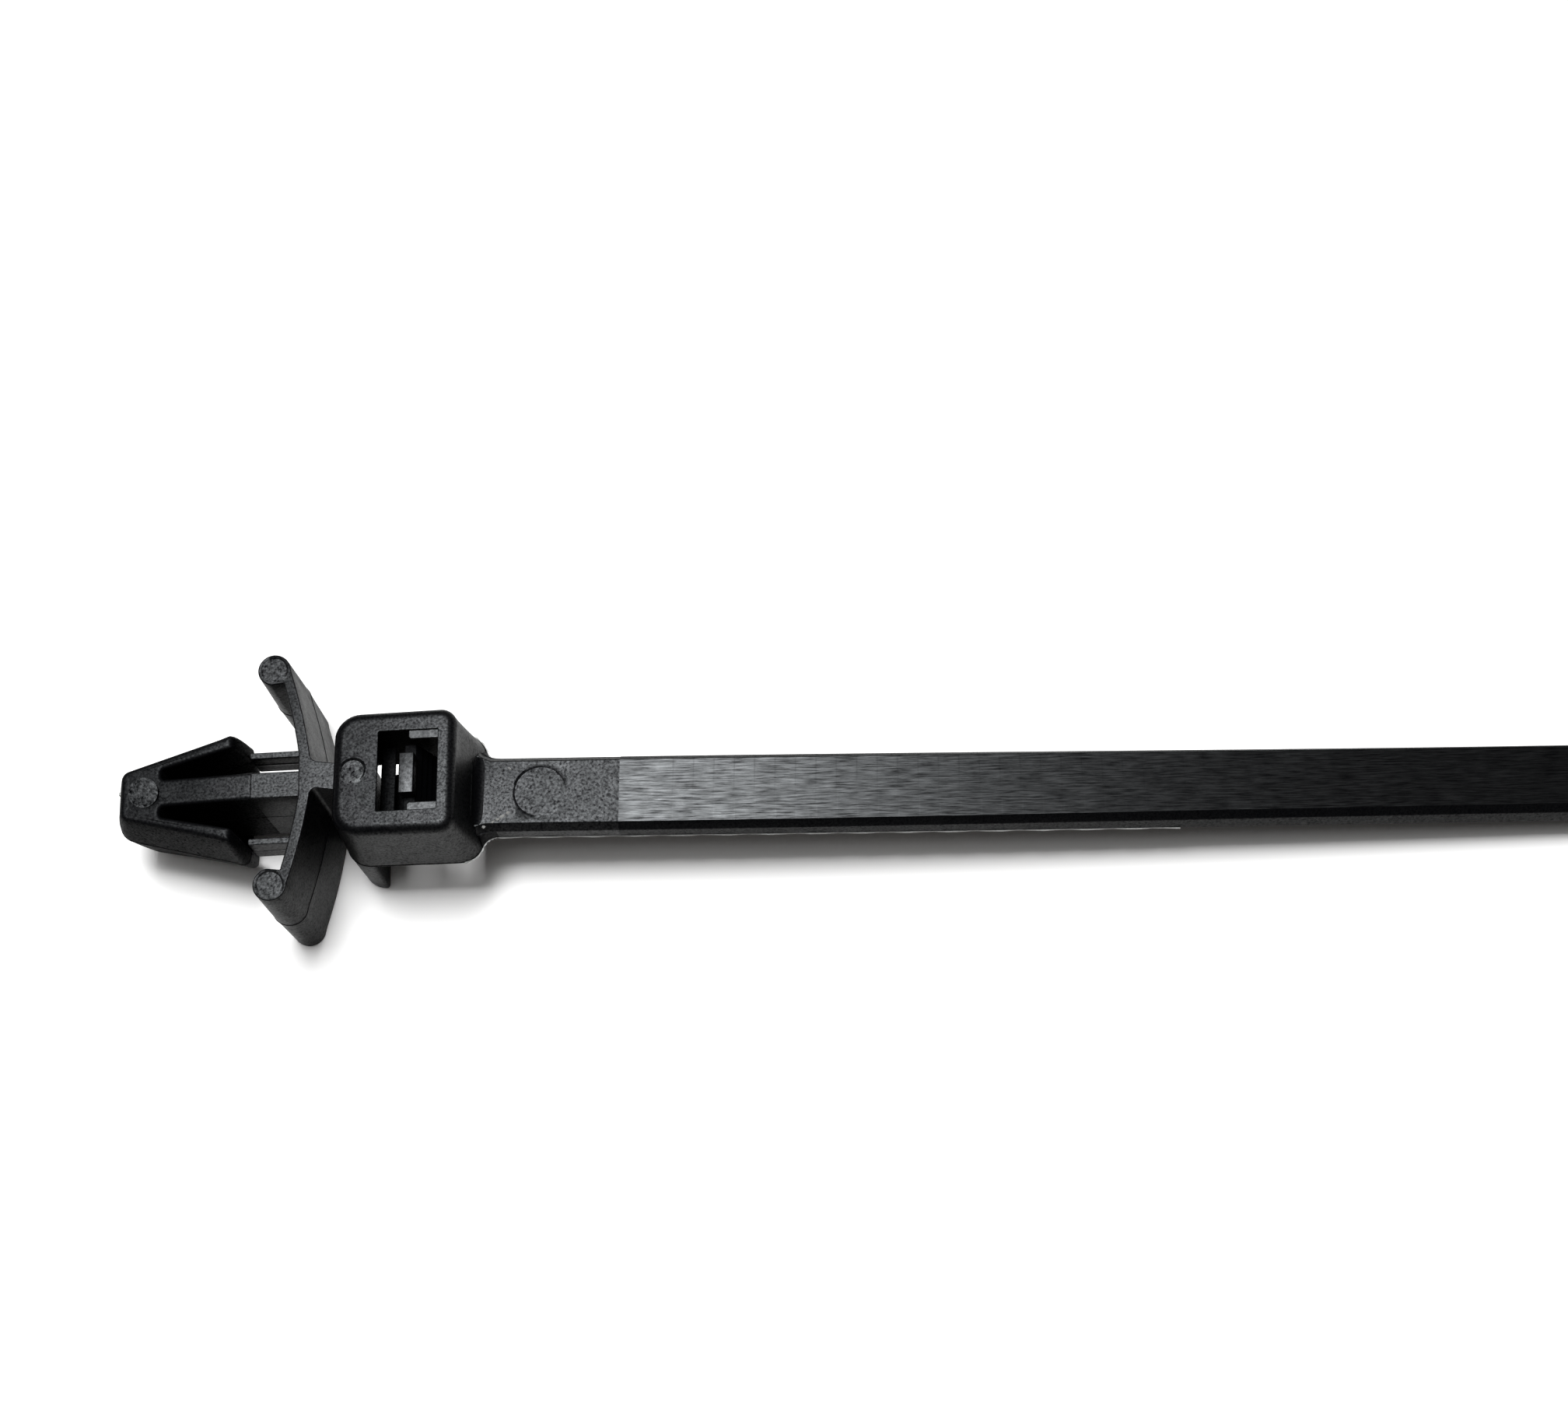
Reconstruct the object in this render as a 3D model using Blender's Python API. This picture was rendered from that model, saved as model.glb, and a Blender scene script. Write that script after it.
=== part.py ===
"""Push mount cable tie, moulded in one piece of black nylon.

From the nose to the tail it has an arrowhead with two barbs, a stem with a rib and two side
rails, a pair of spring wings, a deep neck, a ratchet head with its pawl, and a long strap with
teeth on its underside. Every form is first modelled straight along +X. The whole tie is then laid
down: it turns a little at the neck, and the strap sags, rolls and comes to rest on the surface.
"""
import bmesh
import bpy
import numpy as np

MM = 0.001

# Whole tie, measured straight, with x = 0 at the edge of the arrowhead's flat top
OVERALL_END = 199.0 * MM
MOULD_DRAFT = 0.10 * MM

# Arrowhead: half widths and places at its mid depth and at its flat top and bottom
ARROW_HALF_DEPTH = 3.25 * MM
NOSE_BULGE = 1.1 * MM
NOSE_HALF_WIDTH = 1.17 * MM
SHOULDER_X = 0.35 * MM
SHOULDER_HALF_WIDTH = 1.50 * MM
BARB_END_X = 6.35 * MM
BARB_HALF_WIDTH = 3.13 * MM
BARB_BULGE = 0.62 * MM
BARB_TIP_BULGE = 0.58 * MM
LOWER_TUCK = 0.50 * MM
BARB_ROOT_X = 2.28 * MM
BARB_INNER_ROOT = 1.50 * MM
BARB_INNER_END = 2.50 * MM
ARROW_LEVELS = 7

# Stem between the arrowhead and the wings
RIB_HALF_WIDTH = 0.83 * MM
RIB_STEP_X = 7.75 * MM
RIB_STEP = 0.30 * MM
RAIL_OUTER = 2.90 * MM
RAIL_THICKNESS = 0.38 * MM
RAIL_HALF_DEPTH = 1.10 * MM
RAIL_FRONT_X = 7.05 * MM

# Wings: the front face runs x = root - lean * |y| - bow * y^2
WING_ROOT_X = 11.61 * MM
WING_LEAN = 0.1035
WING_BOW = 15.8
WING_THICKNESS = 0.65 * MM
WING_HALF_DEPTH = 4.65 * MM
BEAD_RADIUS = 0.87 * MM
BEAD_CENTRE_Y = 6.72 * MM
ROOT_FILLET = 0.45 * MM

# Head
HEAD_BASE_Z = -0.15 * MM
HEAD_HEIGHT = 5.40 * MM
HEAD_FRONT_X = 13.00 * MM
HEAD_LENGTH = 7.00 * MM
HEAD_HALF_WIDTH = 3.76 * MM
HEAD_TAPER = 0.04 * MM
HEAD_DRAFT = 0.24 * MM
HEAD_HEEL = 0.90 * MM
HEAD_EDGE = 0.43 * MM
HEAD_FRONT_CORNER = 1.30 * MM
HEAD_REAR_CORNER = 0.95 * MM
HEAD_BASE_CORNER = 1.45 * MM
REAR_WALL = 0.60 * MM
SKIRT_DEPTH = 4.45 * MM
SKIRT_LENGTH = 2.30 * MM
SKIRT_WALL = 0.65 * MM

# Strap
STRAP_WIDTH = 4.60 * MM
STRAP_THICKNESS = 1.50 * MM
STRAP_EDGE_WIDTH = 0.36 * MM
STRAP_EDGE_DEPTH = 0.50 * MM
STRAP_FLARE = 0.60 * MM
STRAP_FLARE_LENGTH = 0.90 * MM
HEEL_RADIUS = 0.55 * MM
HEEL_HALF_WIDTH = 2.10 * MM
SMOOTH_NECK_LENGTH = 8.10 * MM
RAISED_FACE = 0.025 * MM
TOOTH_PITCH = 1.20 * MM
TOOTH_CREST = 0.32 * MM
TOOTH_ROOT = 0.78 * MM
TOOTH_LAND = 0.12 * MM
TEETH_HALF_WIDTH = 1.40 * MM
TEETH_LEAD = 2.00 * MM
TAIL_LENGTH = 22.0 * MM
TAIL_END_HALF_WIDTH = 1.35 * MM
TAIL_END_THICKNESS = 1.00 * MM
TAIL_PLAIN = 3.00 * MM
GRIP_COUNT = 8
GRIP_PITCH = 1.70 * MM
GRIP_HEIGHT = 0.16 * MM
STRAP_STATION = 4.0 * MM

# Window and ratchet, sized from the strap that passes through
STRAP_SIDE_CLEARANCE = 0.14 * MM
STRAP_FACE_CLEARANCE = 0.12 * MM
PAWL_HALF_WIDTH = 1.23 * MM
PAWL_BODY_HALF_WIDTH = 1.60 * MM
HINGE_HALF_WIDTH = 1.30 * MM
PAWL_SHOULDER = 0.45 * MM
PAWL_LEAN = 0.75 * MM
PAWL_THICKNESS = 0.78 * MM
PAWL_SINK = 0.95 * MM
PAWL_ROOT_Z = 0.70 * MM
PAWL_TEETH = 4
PAWL_TOOTH_HEIGHT = 0.28 * MM
PAWL_TOOTH_PITCH = 0.55 * MM
PAWL_RELIEF = 1.05 * MM
CROSS_RIB_GAP = 0.69 * MM
CROSS_RIB_THICKNESS = 0.55 * MM
CROSS_RIB_TOP_Z = 3.00 * MM
HINGE_THICKNESS = 0.32 * MM
RELIEF_SLANT = 1.25 * MM
LIP_WIDTH = 0.50 * MM
LIP_THICKNESS = 0.25 * MM
LIP_SINK = 0.15 * MM

# Round marks left by the ejector pins
MARK_DEPTH = 0.05 * MM
ARROW_MARK_X = 1.37 * MM
ARROW_MARK_RADIUS = 0.75 * MM
HEAD_MARK_OFFSET = 1.20 * MM
HEAD_MARK_RADIUS = 0.68 * MM
STRAP_MARK_OFFSET = 3.45 * MM
STRAP_MARK_RADIUS = 1.57 * MM

# How the tie lies: turns in radians, seen from above, and the strap's sag and roll
STEM_SHIFT = -0.19 * MM
STEM_SHIFT_X = 8.5 * MM
STEM_SHIFT_LENGTH = 4.0 * MM
NECK_TURN = -0.033
NECK_SHIFT = -0.231 * MM
STRAP_TURN = -0.035
ROOT_SHIFT = -0.222 * MM
STRAP_STRAIGHTENS = 0.040
STRAIGHTENED_X = 137.0 * MM
STRAP_ROLL = -0.19
ROLL_FULL_X = 84.0 * MM
TOUCHDOWN_X = 134.0 * MM

NYLON_COLOUR = (0.022, 0.022, 0.024, 1.0)
NYLON_ROUGHNESS = 0.42
SHARP_ANGLE = np.radians(28)
BURY = 0.30 * MM

HEAD_TOP_Z = HEAD_BASE_Z + HEAD_HEIGHT
HEAD_REAR_X = HEAD_FRONT_X + HEAD_LENGTH
FLAT_REAR_X = HEAD_REAR_X - HEAD_EDGE
WINDOW_REAR_X = FLAT_REAR_X - REAR_WALL
WINDOW_HALF_WIDTH = STRAP_WIDTH / 2 + STRAP_SIDE_CLEARANCE
PAWL_FRONT_X = WINDOW_REAR_X - STRAP_THICKNESS - STRAP_FACE_CLEARANCE
PAWL_BACK_X = PAWL_FRONT_X - PAWL_THICKNESS
WINDOW_FRONT_X = PAWL_BACK_X - PAWL_RELIEF
STRAP_ROOT_X = HEAD_REAR_X + HEAD_HEEL
SMOOTH_END_X = STRAP_ROOT_X + SMOOTH_NECK_LENGTH
TAIL_X = OVERALL_END - TAIL_LENGTH


def arc(centre_x, centre_y, radius, start, stop, count):
    """Points on an arc from start to stop, in degrees."""
    angle = np.radians(np.linspace(start, stop, count))
    return np.c_[centre_x + radius * np.cos(angle), centre_y + radius * np.sin(angle)]


def mirrored(half):
    """A closed outline from the half of it at y > 0."""
    return np.r_[half, (half * [1, -1])[::-1]]


def offset(outline, distance):
    """The outline moved outwards along its corner normals; it runs clockwise seen from above."""
    after = np.roll(outline, -1, axis=0) - outline
    before = outline - np.roll(outline, 1, axis=0)
    after /= np.linalg.norm(after, axis=1)[:, None]
    before /= np.linalg.norm(before, axis=1)[:, None]
    normal = np.c_[-(after + before)[:, 1], (after + before)[:, 0]]
    normal /= np.linalg.norm(normal, axis=1)[:, None]
    cosine = normal[:, 0] * -after[:, 1] + normal[:, 1] * after[:, 0]
    return outline + normal * (distance / np.maximum(cosine, 0.5))[:, None]


def level(outline, height):
    """A plan outline lifted to one height."""
    return np.c_[outline, np.full(len(outline), height)]


def solid(name, rings, looped=False):
    """A closed body through rings of equal length, with capped ends or the last joined to the first."""
    rings = np.array(rings)
    count, size = rings.shape[:2]
    index = np.arange(count * size).reshape(count, size)
    upper = np.roll(index, -1, axis=0)
    quads = np.stack([index, np.roll(index, -1, axis=1), np.roll(upper, -1, axis=1), upper], axis=-1)
    faces = (quads if looped else quads[:-1]).reshape(-1, 4).tolist()
    if not looped:
        faces += [index[0].tolist(), index[-1].tolist()]
    mesh = bpy.data.meshes.new(name)
    mesh.from_pydata(rings.reshape(-1, 3).tolist(), [], faces)
    shell = bmesh.new()
    shell.from_mesh(mesh)
    bmesh.ops.recalc_face_normals(shell, faces=shell.faces)
    shell.to_mesh(mesh)
    shell.free()
    body = bpy.data.objects.new(name, mesh)
    bpy.context.collection.objects.link(body)
    return body


def across(name, profile, half_width):
    """A side profile of x and z points, extruded across the tie."""
    return solid(name, [np.c_[profile[:, 0], np.full(len(profile), y), profile[:, 1]]
                        for y in (-half_width, half_width)])


def pin(name, centre_x, top, radius, depth):
    """A round cutter for an ejector mark."""
    circle = arc(centre_x, 0, radius, 0, 345, 24)
    return solid(name, [level(circle, top - depth), level(circle, top + depth)])


def combine(body, other, operation):
    """Adds or cuts one body with another by an exact Boolean, and removes the other."""
    modifier = body.modifiers.new(operation.lower(), "BOOLEAN")
    modifier.operation = operation
    modifier.solver = "EXACT"
    modifier.object = other
    result = bpy.data.meshes.new_from_object(body.evaluated_get(bpy.context.evaluated_depsgraph_get()))
    body.modifiers.clear()
    body.data = result
    bpy.data.objects.remove(other)


def arrowhead():
    """The arrowhead: a plan with two barbs and a middle rib, widest where the mould halves part.

    Below that level its sides draw in further, down to the narrower flat underneath.
    """
    inner = np.array([[BARB_END_X, BARB_INNER_END], [BARB_ROOT_X, BARB_INNER_ROOT],
                      [BARB_ROOT_X, RIB_HALF_WIDTH], [RIB_STEP_X, RIB_HALF_WIDTH]])
    flat = np.array([[0, 0.4 * NOSE_HALF_WIDTH], [0, NOSE_HALF_WIDTH],
                     [0.3 * SHOULDER_X, 0.85 * SHOULDER_HALF_WIDTH], [SHOULDER_X, SHOULDER_HALF_WIDTH],
                     [BARB_END_X - 0.25 * MM, BARB_HALF_WIDTH], [BARB_END_X, BARB_HALF_WIDTH - 0.05 * MM]])
    back = np.array([[-NOSE_BULGE, 0], [-0.9 * NOSE_BULGE, -0.25 * NOSE_BULGE], [-0.65 * NOSE_BULGE, 0],
                     [-0.5 * NOSE_BULGE, 0.06 * NOSE_BULGE], [0, BARB_BULGE], [0.3 * BARB_BULGE, BARB_BULGE]])
    tuck = np.array([0, 0, 0, 0.5 * LOWER_TUCK, LOWER_TUCK, LOWER_TUCK])
    tip = np.array([BARB_TIP_BULGE, 0.5 * BARB_BULGE])
    rings = []
    for height in np.linspace(-1, 1, ARROW_LEVELS):
        bulge = 1 - abs(height) ** 1.25
        outer = flat + back * bulge
        outer[:, 1] += tuck * min(height, 0)
        inner_end = inner[:1] + tip * bulge + [0, 0.85 * LOWER_TUCK * min(height, 0)]
        half = np.r_[outer, inner_end, inner[1:]]
        rings.append(level(mirrored(half), height * ARROW_HALF_DEPTH))
    return solid("arrowhead", rings)


def wings_and_neck():
    """Both spring wings with their end beads, on the deep wall that carries them to the head."""
    def front(y):
        return WING_ROOT_X - WING_LEAN * y - WING_BOW * y ** 2

    bead_x = front(BEAD_CENTRE_Y) - BEAD_RADIUS
    start = RIB_HALF_WIDTH + ROOT_FILLET
    back_y = np.linspace(start, BEAD_CENTRE_Y - 0.9 * BEAD_RADIUS, 6)
    front_y = np.linspace(BEAD_CENTRE_Y - 0.25 * BEAD_RADIUS, start, 8)
    back_x = front(start) - WING_THICKNESS
    half = np.r_[
        [[back_x, RIB_HALF_WIDTH]],
        np.c_[front(back_y) - WING_THICKNESS, back_y],
        arc(bead_x, BEAD_CENTRE_Y, BEAD_RADIUS, -75, -355, 15),
        np.c_[front(front_y), front_y],
        arc(front(start) + ROOT_FILLET, start, ROOT_FILLET, 180, 270, 4)[1:],
        [[HEAD_FRONT_X + BURY, RIB_HALF_WIDTH]],
    ]
    outline = mirrored(half)
    return solid("wings", [level(outline, -WING_HALF_DEPTH), level(offset(outline, MOULD_DRAFT), 0),
                           level(outline, WING_HALF_DEPTH)])


def stem():
    """The stem's rib, stepped below the arrowhead's flats, and a rail on each side of it."""
    rib_end = WING_ROOT_X - WING_THICKNESS / 2
    rib_depth = ARROW_HALF_DEPTH - RIB_STEP
    rib = across("rib", np.array([[RIB_STEP_X - BURY, -rib_depth], [rib_end, -rib_depth],
                                  [rib_end, rib_depth], [RIB_STEP_X - BURY, rib_depth]]),
                 RIB_HALF_WIDTH - 0.02 * MM)
    rail_end = WING_ROOT_X - WING_LEAN * RAIL_OUTER - WING_BOW * RAIL_OUTER ** 2 - WING_THICKNESS / 2
    inner = RAIL_OUTER - RAIL_THICKNESS
    rails = []
    for side in (-1, 1):
        plan = np.array([[RAIL_FRONT_X, inner], [rail_end, inner], [rail_end, RAIL_OUTER],
                         [RAIL_FRONT_X, RAIL_OUTER]]) * [1, side]
        rails.append(solid("rail", [level(plan, -RAIL_HALF_DEPTH), level(plan, RAIL_HALF_DEPTH)]))
    return [rib] + rails


def rounded(front, rear, front_half, rear_half, front_radius, rear_radius):
    """A rounded rectangle in plan, its two ends of their own width and corner radius."""
    return np.r_[
        arc(front + front_radius, -front_half + front_radius, front_radius, 270, 180, 6),
        arc(front + front_radius, front_half - front_radius, front_radius, 180, 90, 6),
        arc(rear - rear_radius, rear_half - rear_radius, rear_radius, 90, 0, 6),
        arc(rear - rear_radius, -rear_half + rear_radius, rear_radius, 0, -90, 6)]


def head():
    """The head: drafted walls, a rounded top edge, and the window that runs down through it."""
    rings = []
    shoulder = HEAD_TOP_Z - HEAD_EDGE
    for height in np.linspace(HEAD_BASE_Z, shoulder, 5):
        low = (shoulder - height) / (shoulder - HEAD_BASE_Z)
        spread = HEAD_DRAFT * low
        corner = HEAD_REAR_CORNER + (HEAD_BASE_CORNER - HEAD_REAR_CORNER) * low
        rings.append(level(rounded(
            HEAD_FRONT_X - spread, HEAD_REAR_X + HEAD_HEEL * low ** 1.3,
            HEAD_HALF_WIDTH - HEAD_TAPER + spread, HEAD_HALF_WIDTH + HEAD_TAPER + spread,
            HEAD_FRONT_CORNER, corner), height))
    for turn in np.radians([30, 60, 90]):
        inset = HEAD_EDGE * (1 - np.cos(turn))
        rings.append(level(rounded(
            HEAD_FRONT_X + inset, HEAD_REAR_X - inset,
            HEAD_HALF_WIDTH - HEAD_TAPER - inset, HEAD_HALF_WIDTH + HEAD_TAPER - inset,
            HEAD_FRONT_CORNER - inset, HEAD_REAR_CORNER - inset), shoulder + HEAD_EDGE * np.sin(turn)))
    corner = 0.12 * MM
    for front, height in ((WINDOW_FRONT_X, HEAD_TOP_Z), (WINDOW_FRONT_X - RELIEF_SLANT, HEAD_BASE_Z)):
        rings.append(level(rounded(front, WINDOW_REAR_X, WINDOW_HALF_WIDTH, WINDOW_HALF_WIDTH,
                                   corner, corner), height))
    return solid("cable_tie", rings, looped=True)


def skirt():
    """The wall under the front of the head, which turns back along one side."""
    front = HEAD_FRONT_X - HEAD_DRAFT
    side = HEAD_HALF_WIDTH - HEAD_TAPER + HEAD_DRAFT - 0.02 * MM
    end = front + SKIRT_LENGTH
    corner = arc(front + HEAD_BASE_CORNER, HEAD_BASE_CORNER - side, HEAD_BASE_CORNER, 270, 180, 5)
    outline = np.r_[
        corner, [[front, WINDOW_HALF_WIDTH - BURY / 2], [front + SKIRT_WALL, WINDOW_HALF_WIDTH - BURY / 2],
                 [front + SKIRT_WALL, -WINDOW_HALF_WIDTH], [end, -WINDOW_HALF_WIDTH], [end, -side]]]
    return solid("skirt", [level(offset(outline, -0.05 * MM), HEAD_BASE_Z - SKIRT_DEPTH),
                           level(outline, HEAD_BASE_Z + BURY)])


def heel():
    """The hollow curve from the head's rear wall down to the strap's face."""
    end = STRAP_ROOT_X + 0.15 * MM
    curve = arc(end, STRAP_THICKNESS + HEEL_RADIUS, HEEL_RADIUS, 270, 195, 6)
    profile = np.r_[[[end, STRAP_THICKNESS - BURY]], curve,
                    [[WINDOW_REAR_X + REAR_WALL, curve[-1, 1]],
                     [WINDOW_REAR_X + REAR_WALL, STRAP_THICKNESS - BURY]]]
    return across("heel", profile, HEEL_HALF_WIDTH)


def ratchet():
    """The pawl on its thin hinge, the cross rib behind it, and the two lips at the window's ends."""
    top = HEAD_TOP_Z - PAWL_SINK
    rib_rear = PAWL_BACK_X - CROSS_RIB_GAP
    lean = RELIEF_SLANT * (CROSS_RIB_TOP_Z - HEAD_BASE_Z) / HEAD_HEIGHT
    rib = across("cross_rib", np.array([
        [rib_rear - CROSS_RIB_THICKNESS, CROSS_RIB_TOP_Z], [rib_rear, CROSS_RIB_TOP_Z],
        [rib_rear - lean, HEAD_BASE_Z + 0.1 * MM],
        [rib_rear - lean - CROSS_RIB_THICKNESS, HEAD_BASE_Z + 0.1 * MM]]), WINDOW_HALF_WIDTH + BURY / 2)
    shoulder = top - PAWL_SHOULDER
    end_bar = across("pawl_end", np.array([[PAWL_BACK_X, top], [PAWL_FRONT_X, top],
                                           [PAWL_FRONT_X, shoulder - 0.2 * MM],
                                           [PAWL_BACK_X, shoulder - 0.2 * MM]]), PAWL_HALF_WIDTH)
    profile = [[PAWL_BACK_X + 0.05 * MM, shoulder]]
    for tooth in range(PAWL_TEETH):
        start = shoulder - tooth * PAWL_TOOTH_PITCH
        face = PAWL_FRONT_X + PAWL_LEAN * (tooth + 0.5) / PAWL_TEETH
        profile += [[face, start], [face + PAWL_TOOTH_HEIGHT, start - 0.8 * PAWL_TOOTH_PITCH]]
    profile += [[face, start - PAWL_TOOTH_PITCH], [PAWL_FRONT_X, PAWL_ROOT_Z],
                [PAWL_BACK_X, PAWL_ROOT_Z]]
    pawl = across("pawl", np.array(profile), PAWL_BODY_HALF_WIDTH)
    foot = rib_rear - lean - 0.15 * MM
    hinge = across("hinge", np.array([[PAWL_BACK_X + BURY, PAWL_ROOT_Z], [foot, PAWL_ROOT_Z],
                                      [foot, PAWL_ROOT_Z + HINGE_THICKNESS],
                                      [PAWL_BACK_X + BURY, PAWL_ROOT_Z + 2 * HINGE_THICKNESS]]),
                   HINGE_HALF_WIDTH)
    lips = []
    for side in (-1, 1):
        edge = WINDOW_HALF_WIDTH * side
        plan = np.array([[PAWL_FRONT_X - 0.1 * MM, edge - LIP_WIDTH * side],
                         [WINDOW_REAR_X + BURY / 2, edge - LIP_WIDTH * side],
                         [WINDOW_REAR_X + BURY / 2, edge + BURY / 2 * side],
                         [PAWL_FRONT_X - 0.1 * MM, edge + BURY / 2 * side]])
        lip_top = HEAD_TOP_Z - LIP_SINK
        lips.append(solid("lip", [level(plan, lip_top - LIP_THICKNESS), level(plan, lip_top)]))
    return [rib, hinge, pawl, end_bar] + lips


def strap_section(x, half_width, thickness, rise=0.0):
    """One section of the strap: flat underside, upright sides, and bevelled edges at the face."""
    side = half_width - STRAP_EDGE_WIDTH
    bevel = thickness - STRAP_EDGE_DEPTH
    points = np.array([[-half_width, 0], [half_width, 0], [half_width, bevel],
                       [side, thickness + rise], [-side, thickness + rise], [-half_width, bevel]])
    return np.c_[np.full(6, x), points]


def strap():
    """The strap: flared root, smooth neck, raised face, and a tapered tail with grip ridges."""
    half = STRAP_WIDTH / 2
    rings = [strap_section(WINDOW_REAR_X + 0.3 * REAR_WALL, half, STRAP_THICKNESS)]
    for part in np.linspace(0, 1, 5):
        spread = STRAP_FLARE * (1 - part) ** 2
        rings.append(strap_section(STRAP_ROOT_X - 0.3 * MM + STRAP_FLARE_LENGTH * part,
                                   half + spread, STRAP_THICKNESS))
    rings.append(strap_section(SMOOTH_END_X, half, STRAP_THICKNESS))
    stations = np.arange(SMOOTH_END_X + 0.1 * MM, TAIL_X, STRAP_STATION)
    rings += [strap_section(x, half + RAISED_FACE, STRAP_THICKNESS + RAISED_FACE) for x in stations]

    def tail_section(x, rise=0.0):
        part = (x - TAIL_X) / TAIL_LENGTH
        return strap_section(x, half + RAISED_FACE + (TAIL_END_HALF_WIDTH - half) * part ** 1.3,
                             STRAP_THICKNESS + (TAIL_END_THICKNESS - STRAP_THICKNESS) * part, rise)

    for ridge in range(GRIP_COUNT):
        start = TAIL_X + TAIL_PLAIN + ridge * GRIP_PITCH
        rings += [tail_section(start), tail_section(start + 0.25 * GRIP_PITCH, GRIP_HEIGHT),
                  tail_section(start + 0.5 * GRIP_PITCH, GRIP_HEIGHT),
                  tail_section(start + 0.75 * GRIP_PITCH)]
    tip = TAIL_END_HALF_WIDTH
    for turn in np.radians([0, 30, 60]):
        rings.append(strap_section(OVERALL_END - tip * (1 - np.sin(turn)),
                                   tip * np.cos(turn), TAIL_END_THICKNESS))
    rings.append(strap_section(OVERALL_END, 0.45 * tip, 0.8 * TAIL_END_THICKNESS))
    return solid("strap", rings)


def teeth_cutter():
    """The recess under the strap, whose ceiling is a row of ratchet teeth."""
    start = SMOOTH_END_X + TEETH_LEAD
    count = int((TAIL_X - start) / TOOTH_PITCH)
    x = []
    depth = []
    for tooth in range(count):
        x += [start + tooth * TOOTH_PITCH, start + (tooth + 1) * TOOTH_PITCH - TOOTH_LAND]
        depth += [TOOTH_ROOT, TOOTH_CREST]
    half = TEETH_HALF_WIDTH
    rings = [[[a, -half, -MM], [a, half, -MM], [a, half, d], [a, -half, d]] for a, d in zip(x, depth)]
    return solid("teeth", rings)


def smooth(part):
    """A soft step from 0 to 1."""
    part = np.clip(part, 0, 1)
    return part * part * (3 - 2 * part)


def lay_down(points):
    """Carries straight points onto the line on which the tie lies.

    The stem, the neck and the strap's root bend slightly aside. The heading turns at the neck and
    at the strap's root and then eases back, the strap's roll grows and fades, and its sag takes it
    down to the level of the wings' lower edges.
    """
    x, y, z = points.T
    line = np.linspace(-2 * NOSE_BULGE, OVERALL_END + MM, 6001)
    neck = smooth((line - WING_ROOT_X) / (HEAD_FRONT_X - WING_ROOT_X))
    root = smooth((line - FLAT_REAR_X) / (2 * MM))
    heading = (NECK_TURN * neck + STRAP_TURN * root
               + STRAP_STRAIGHTENS * np.clip((line - STRAP_ROOT_X) / (STRAIGHTENED_X - STRAP_ROOT_X), 0, 1))
    step = line[1] - line[0]
    along = np.cumsum(np.cos(heading)) * step
    aside = np.cumsum(np.sin(heading)) * step
    aside += STEM_SHIFT * smooth((line - STEM_SHIFT_X) / STEM_SHIFT_LENGTH)
    aside += NECK_SHIFT * neck + ROOT_SHIFT * root
    along -= np.interp(0, line, along)
    aside -= np.interp(0, line, aside)
    turn = np.interp(x, line, heading)
    fade = 1 - smooth((x - ROLL_FULL_X) / (TOUCHDOWN_X - ROLL_FULL_X))
    roll = STRAP_ROLL * smooth((x - SMOOTH_END_X) / (ROLL_FULL_X - SMOOTH_END_X)) * fade
    side = y * np.cos(roll) - z * np.sin(roll)
    rise = y * np.sin(roll) + z * np.cos(roll)
    sag = WING_HALF_DEPTH * smooth((x - STRAP_ROOT_X) / (TOUCHDOWN_X - STRAP_ROOT_X))
    return np.c_[np.interp(x, line, along) - side * np.sin(turn),
                 np.interp(x, line, aside) + side * np.cos(turn), rise - sag]


def finish(body):
    """Triangulates the tie, lays it down, centres it over its resting level and shades it."""
    shell = bmesh.new()
    shell.from_mesh(body.data)
    bmesh.ops.remove_doubles(shell, verts=shell.verts, dist=1e-7)
    bmesh.ops.triangulate(shell, faces=shell.faces)
    points = lay_down(np.array([vertex.co for vertex in shell.verts]))
    low = points.min(axis=0)
    high = points.max(axis=0)
    points -= [(low[0] + high[0]) / 2, (low[1] + high[1]) / 2, low[2]]
    for vertex, point in zip(shell.verts, points):
        vertex.co = point
    bmesh.ops.recalc_face_normals(shell, faces=shell.faces)
    shell.to_mesh(body.data)
    shell.free()
    body.data.shade_smooth()
    body.data.set_sharp_from_angle(angle=SHARP_ANGLE)


def nylon():
    """Black nylon, matt to satin as it leaves the mould."""
    material = bpy.data.materials.new("black_nylon")
    material.use_nodes = True
    shader = material.node_tree.nodes["Principled BSDF"]
    shader.inputs["Base Color"].default_value = NYLON_COLOUR
    shader.inputs["Roughness"].default_value = NYLON_ROUGHNESS
    shader.inputs["Metallic"].default_value = 0.0
    return material


for item in list(bpy.data.objects):
    bpy.data.objects.remove(item)

tie = head()
combine(tie, skirt(), "UNION")
for piece in ratchet():
    combine(tie, piece, "UNION")
combine(tie, wings_and_neck(), "UNION")
for piece in stem():
    combine(tie, piece, "UNION")
combine(tie, arrowhead(), "UNION")
long_strap = strap()
combine(long_strap, teeth_cutter(), "DIFFERENCE")
combine(tie, long_strap, "UNION")
combine(tie, heel(), "UNION")
combine(tie, pin("mark", ARROW_MARK_X, ARROW_HALF_DEPTH, ARROW_MARK_RADIUS, MARK_DEPTH), "DIFFERENCE")
combine(tie, pin("mark", HEAD_FRONT_X + HEAD_MARK_OFFSET, HEAD_TOP_Z, HEAD_MARK_RADIUS, MARK_DEPTH),
        "DIFFERENCE")
combine(tie, pin("mark", STRAP_ROOT_X + STRAP_MARK_OFFSET, STRAP_THICKNESS, STRAP_MARK_RADIUS,
                 MARK_DEPTH), "DIFFERENCE")
finish(tie)
tie.data.materials.clear()
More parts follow.
